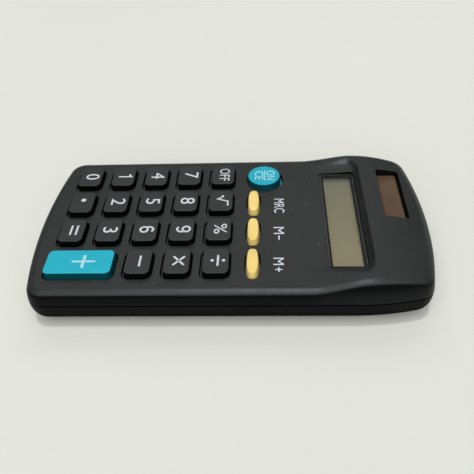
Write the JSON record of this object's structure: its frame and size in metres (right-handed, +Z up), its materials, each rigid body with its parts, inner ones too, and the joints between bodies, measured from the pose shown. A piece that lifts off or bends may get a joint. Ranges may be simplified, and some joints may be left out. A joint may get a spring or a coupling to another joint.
{
  "type": "pocket calculator",
  "caption": "Flat pocket calculator with a raised display end, sprung press keys, a small display, a solar window and a sliding battery door on the back.",
  "frame": {"origin": "middle of the case's footprint, on the surface it lies on", "axes": "+X to the calculator's right, +Y to its display end, +Z up out of the keys"},
  "size_m": [0.0652, 0.1232, 0.0165],
  "materials": {
    "case": "fine matte texture",
    "black_key": "matte",
    "teal_key": "satin",
    "yellow_key": "satin",
    "lens": "clear",
    "lcd": "grey-green display with a polariser film",
    "solar": "brown cell strips",
    "rubber": "matt",
    "board": "solder mask",
    "resin": "resin",
    "tin": "tinned",
    "diode": "glass body",
    "cell": "printed sleeve",
    "red_wire": "insulation",
    "black_wire": "insulation"
  },
  "bodies": {
    "case": {"upper_case": "case", "lower_case": "case", "display_window": "lens", "screw_1": "tin", "screw_2": "tin", "screw_3": "tin", "screw_4": "tin", "key_mat": "rubber", "circuit_board": "board", "chip_cover": "resin", "capacitor": "tin", "diode": "diode", "lcd_panel": "lcd", "lcd_connector": "rubber", "solar_cell": "solar", "battery_cell": "cell", "battery_spring": "tin", "contact_minus": "tin", "contact_plus": "tin", "battery_wire_plus": "red_wire", "battery_wire_minus": "black_wire", "solar_wire_plus": "red_wire", "solar_wire_minus": "black_wire"},
    "battery_door": {"battery_door": "case"},
    "key_0": {"key_0": "black_key"},
    "key_1": {"key_1": "black_key"},
    "key_2": {"key_2": "black_key"},
    "key_3": {"key_3": "black_key"},
    "key_4": {"key_4": "black_key"},
    "key_5": {"key_5": "black_key"},
    "key_6": {"key_6": "black_key"},
    "key_7": {"key_7": "black_key"},
    "key_8": {"key_8": "black_key"},
    "key_9": {"key_9": "black_key"},
    "key_point": {"key_point": "black_key"},
    "key_equals": {"key_equals": "black_key"},
    "key_plus": {"key_plus": "teal_key"},
    "key_minus": {"key_minus": "black_key"},
    "key_multiply": {"key_multiply": "black_key"},
    "key_divide": {"key_divide": "black_key"},
    "key_off": {"key_off": "black_key"},
    "key_root": {"key_root": "black_key"},
    "key_percent": {"key_percent": "black_key"},
    "key_on_clear": {"key_on_clear": "teal_key"},
    "key_memory_recall": {"key_memory_recall": "yellow_key"},
    "key_memory_minus": {"key_memory_minus": "yellow_key"},
    "key_memory_plus": {"key_memory_plus": "yellow_key"}
  },
  "joints": [
    {"name": "battery_door_slide", "type": "slide", "parent": "case", "child": "battery_door", "axis": [0, 1, 0], "range_m": [0, 0.014]},
    {"name": "key_0_press", "type": "slide", "parent": "case", "child": "key_0", "axis": [0, 0, -1], "range_m": [0, 0.0011], "stiffness_N_per_m": 150, "springref_m": -0.001, "deforming": ["key_mat"]},
    {"name": "key_1_press", "type": "slide", "parent": "case", "child": "key_1", "axis": [0, 0, -1], "range_m": [0, 0.0011], "stiffness_N_per_m": 150, "springref_m": -0.001, "deforming": ["key_mat"]},
    {"name": "key_2_press", "type": "slide", "parent": "case", "child": "key_2", "axis": [0, 0, -1], "range_m": [0, 0.0011], "stiffness_N_per_m": 150, "springref_m": -0.001, "deforming": ["key_mat"]},
    {"name": "key_3_press", "type": "slide", "parent": "case", "child": "key_3", "axis": [0, 0, -1], "range_m": [0, 0.0011], "stiffness_N_per_m": 150, "springref_m": -0.001, "deforming": ["key_mat"]},
    {"name": "key_4_press", "type": "slide", "parent": "case", "child": "key_4", "axis": [0, 0, -1], "range_m": [0, 0.0011], "stiffness_N_per_m": 150, "springref_m": -0.001, "deforming": ["key_mat"]},
    {"name": "key_5_press", "type": "slide", "parent": "case", "child": "key_5", "axis": [0, 0, -1], "range_m": [0, 0.0011], "stiffness_N_per_m": 150, "springref_m": -0.001, "deforming": ["key_mat"]},
    {"name": "key_6_press", "type": "slide", "parent": "case", "child": "key_6", "axis": [0, 0, -1], "range_m": [0, 0.0011], "stiffness_N_per_m": 150, "springref_m": -0.001, "deforming": ["key_mat"]},
    {"name": "key_7_press", "type": "slide", "parent": "case", "child": "key_7", "axis": [0, 0, -1], "range_m": [0, 0.0011], "stiffness_N_per_m": 150, "springref_m": -0.001, "deforming": ["key_mat"]},
    {"name": "key_8_press", "type": "slide", "parent": "case", "child": "key_8", "axis": [0, 0, -1], "range_m": [0, 0.0011], "stiffness_N_per_m": 150, "springref_m": -0.001, "deforming": ["key_mat"]},
    {"name": "key_9_press", "type": "slide", "parent": "case", "child": "key_9", "axis": [0, 0, -1], "range_m": [0, 0.0011], "stiffness_N_per_m": 150, "springref_m": -0.001, "deforming": ["key_mat"]},
    {"name": "key_point_press", "type": "slide", "parent": "case", "child": "key_point", "axis": [0, 0, -1], "range_m": [0, 0.0011], "stiffness_N_per_m": 150, "springref_m": -0.001, "deforming": ["key_mat"]},
    {"name": "key_equals_press", "type": "slide", "parent": "case", "child": "key_equals", "axis": [0, 0, -1], "range_m": [0, 0.0011], "stiffness_N_per_m": 150, "springref_m": -0.001, "deforming": ["key_mat"]},
    {"name": "key_plus_press", "type": "slide", "parent": "case", "child": "key_plus", "axis": [0, 0, -1], "range_m": [0, 0.0011], "stiffness_N_per_m": 150, "springref_m": -0.001, "deforming": ["key_mat"]},
    {"name": "key_minus_press", "type": "slide", "parent": "case", "child": "key_minus", "axis": [0, 0, -1], "range_m": [0, 0.0011], "stiffness_N_per_m": 150, "springref_m": -0.001, "deforming": ["key_mat"]},
    {"name": "key_multiply_press", "type": "slide", "parent": "case", "child": "key_multiply", "axis": [0, 0, -1], "range_m": [0, 0.0011], "stiffness_N_per_m": 150, "springref_m": -0.001, "deforming": ["key_mat"]},
    {"name": "key_divide_press", "type": "slide", "parent": "case", "child": "key_divide", "axis": [0, 0, -1], "range_m": [0, 0.0011], "stiffness_N_per_m": 150, "springref_m": -0.001, "deforming": ["key_mat"]},
    {"name": "key_off_press", "type": "slide", "parent": "case", "child": "key_off", "axis": [0, 0, -1], "range_m": [0, 0.0011], "stiffness_N_per_m": 150, "springref_m": -0.001, "deforming": ["key_mat"]},
    {"name": "key_root_press", "type": "slide", "parent": "case", "child": "key_root", "axis": [0, 0, -1], "range_m": [0, 0.0011], "stiffness_N_per_m": 150, "springref_m": -0.001, "deforming": ["key_mat"]},
    {"name": "key_percent_press", "type": "slide", "parent": "case", "child": "key_percent", "axis": [0, 0, -1], "range_m": [0, 0.0011], "stiffness_N_per_m": 150, "springref_m": -0.001, "deforming": ["key_mat"]},
    {"name": "key_on_clear_press", "type": "slide", "parent": "case", "child": "key_on_clear", "axis": [0, 0, -1], "range_m": [0, 0.0011], "stiffness_N_per_m": 150, "springref_m": -0.001, "deforming": ["key_mat"]},
    {"name": "key_memory_recall_press", "type": "slide", "parent": "case", "child": "key_memory_recall", "axis": [0, 0, -1], "range_m": [0, 0.0011], "stiffness_N_per_m": 150, "springref_m": -0.001, "deforming": ["key_mat"]},
    {"name": "key_memory_minus_press", "type": "slide", "parent": "case", "child": "key_memory_minus", "axis": [0, 0, -1], "range_m": [0, 0.0011], "stiffness_N_per_m": 150, "springref_m": -0.001, "deforming": ["key_mat"]},
    {"name": "key_memory_plus_press", "type": "slide", "parent": "case", "child": "key_memory_plus", "axis": [0, 0, -1], "range_m": [0, 0.0011], "stiffness_N_per_m": 150, "springref_m": -0.001, "deforming": ["key_mat"]}
  ]
}
